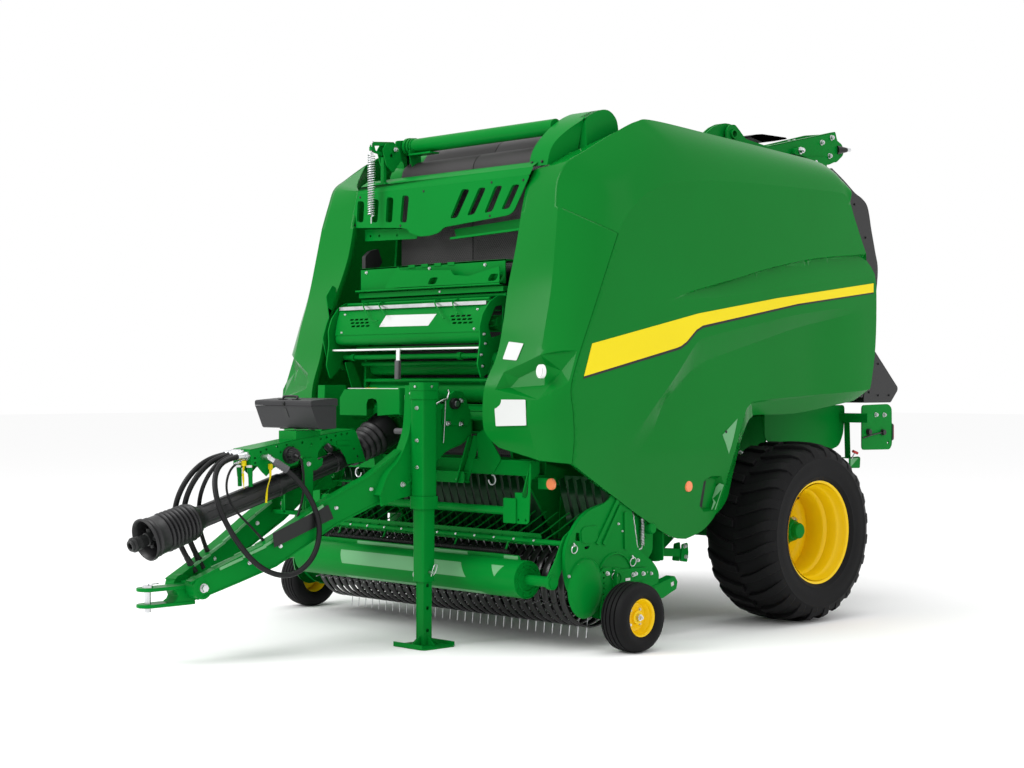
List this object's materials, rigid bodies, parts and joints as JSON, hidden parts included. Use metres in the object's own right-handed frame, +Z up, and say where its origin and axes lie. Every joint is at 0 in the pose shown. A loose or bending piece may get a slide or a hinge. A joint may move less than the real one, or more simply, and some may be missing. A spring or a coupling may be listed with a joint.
{
  "type": "round baler",
  "caption": "Trailed round baler with tined pickup, cutting rotor, belt chamber, gull-wing side doors, lifting rear gate, drawbar with drive shaft and parking jack.",
  "frame": {"origin": "on the ground below the middle of the machine, hitch to rear flap and wheel to wheel", "axes": "+X to the baler's left side, -Y to the front where the hitch is, +Z up"},
  "size_m": [2.85, 5.0765, 3.0011],
  "materials": {
    "green_paint": "gloss enamel",
    "yellow_paint": "gloss enamel",
    "tyre_rubber": "matt rubber",
    "belt_rubber": "ribbed belt rubber",
    "hose_rubber": "smooth hose rubber",
    "black_plastic": "moulded plastic",
    "zinc_steel": "zinc plated",
    "dark_steel": "black paint",
    "red_lens": "clear lens"
  },
  "bodies": {
    "chassis": {"chamber_walls": "green_paint", "belts": "belt_rubber", "chamber_rollers": "green_paint", "knife_floor": "green_paint", "main_frame": "green_paint", "upper_frame": "green_paint", "front_crossbeam": "green_paint", "drawbar": "green_paint", "hitch_clevis": "green_paint", "hitch_pin": "zinc_steel", "hose_left_loop": "hose_rubber", "hose_front_outer": "hose_rubber", "hose_front_middle": "hose_rubber", "hose_front_inner": "hose_rubber", "hose_thin": "hose_rubber", "gearbox": "dark_steel", "gearbox_guard": "green_paint", "pto_guard_tube": "black_plastic", "pto_front_cone": "black_plastic", "pto_rear_cone": "black_plastic", "jack_outer": "green_paint", "jack_crank": "zinc_steel", "hose_bracket": "green_paint", "toolbox": "black_plastic", "front_corner_left": "green_paint", "front_corner_right": "green_paint", "grille": "green_paint", "top_tube": "green_paint", "tension_spring": "zinc_steel", "roof_box": "green_paint", "shelf": "green_paint", "net_box": "green_paint", "rear_beam": "green_paint", "tail_lamps": "red_lens"},
    "rotor": {"feed_rotor": "green_paint"},
    "drive_shaft": {"pto_shaft": "dark_steel"},
    "jack_leg": {"jack_leg": "green_paint"},
    "toolbox_lid": {"toolbox_lid": "black_plastic"},
    "door_left": {"side_door_left": "green_paint"},
    "door_right": {"side_door_right": "green_paint"},
    "net_cover": {"net_cover": "green_paint"},
    "pickup": {"pickup_frame": "green_paint", "stripper_bands": "dark_steel", "gauge_arms": "green_paint"},
    "reel": {"tine_reel": "zinc_steel"},
    "windguard": {"windguard": "green_paint"},
    "gauge_wheel_left": {"gauge_rim_left": "yellow_paint", "gauge_tyre_left": "tyre_rubber"},
    "gauge_wheel_right": {"gauge_rim_right": "yellow_paint", "gauge_tyre_right": "tyre_rubber"},
    "wheel_left": {"main_rim_left": "yellow_paint", "wheel_hub_left": "green_paint", "main_tyre_left": "tyre_rubber"},
    "wheel_right": {"main_rim_right": "yellow_paint", "wheel_hub_right": "green_paint", "main_tyre_right": "tyre_rubber"},
    "gate": {"gate_arms": "green_paint", "gate_roller": "green_paint", "rear_curtain": "belt_rubber", "gate_flap": "belt_rubber"}
  },
  "joints": [
    {"name": "wheel_left_spin", "type": "hinge", "parent": "chassis", "child": "wheel_left", "pos_m": [1.13, 1.19, 0.52], "axis": [1, 0, 0], "continuous": true},
    {"name": "wheel_right_spin", "type": "hinge", "parent": "chassis", "child": "wheel_right", "pos_m": [-1.13, 1.19, 0.52], "axis": [1, 0, 0], "continuous": true},
    {"name": "pickup_lift", "type": "hinge", "parent": "chassis", "child": "pickup", "pos_m": [0, -0.04, 0.6], "axis": [-1, 0, 0], "range_deg": [0, 10]},
    {"name": "gauge_wheel_left_spin", "type": "hinge", "parent": "pickup", "child": "gauge_wheel_left", "pos_m": [1.345, -0.41, 0.18], "axis": [1, 0, 0], "continuous": true},
    {"name": "gauge_wheel_right_spin", "type": "hinge", "parent": "pickup", "child": "gauge_wheel_right", "pos_m": [-1.345, -0.41, 0.18], "axis": [1, 0, 0], "continuous": true},
    {"name": "reel_spin", "type": "hinge", "parent": "pickup", "child": "reel", "pos_m": [0, -0.37, 0.315], "axis": [1, 0, 0], "continuous": true},
    {"name": "windguard_lift", "type": "hinge", "parent": "pickup", "child": "windguard", "pos_m": [0, -0.42, 0.7], "axis": [-1, 0, 0], "range_deg": [0, 25]},
    {"name": "rotor_spin", "type": "hinge", "parent": "chassis", "child": "rotor", "pos_m": [0, 0.03, 0.5], "axis": [1, 0, 0], "continuous": true},
    {"name": "pto_spin", "type": "hinge", "parent": "chassis", "child": "drive_shaft", "pos_m": [0, -2.55, 0.59], "axis": [0, 0.9595, 0.2818], "continuous": true},
    {"name": "jack_slide", "type": "slide", "parent": "chassis", "child": "jack_leg", "axis": [0, 0, 1], "range_m": [0, 0.3]},
    {"name": "toolbox_lid_hinge", "type": "hinge", "parent": "chassis", "child": "toolbox_lid", "pos_m": [0, -1.43, 1.268], "axis": [-1, 0, 0], "range_deg": [0, 95]},
    {"name": "net_cover_hinge", "type": "hinge", "parent": "chassis", "child": "net_cover", "pos_m": [0, -0.655, 1.835], "axis": [-1, 0, 0], "range_deg": [0, 70]},
    {"name": "door_left_hinge", "type": "hinge", "parent": "chassis", "child": "door_left", "pos_m": [1.04, 0.7, 2.725], "axis": [0, -1, 0], "range_deg": [0, 60]},
    {"name": "door_right_hinge", "type": "hinge", "parent": "chassis", "child": "door_right", "pos_m": [-1.04, 0.7, 2.725], "axis": [0, 1, 0], "range_deg": [0, 60]},
    {"name": "gate_hinge", "type": "hinge", "parent": "chassis", "child": "gate", "pos_m": [0, 1.23, 2.88], "axis": [1, 0, 0], "range_deg": [0, 55]}
  ]
}
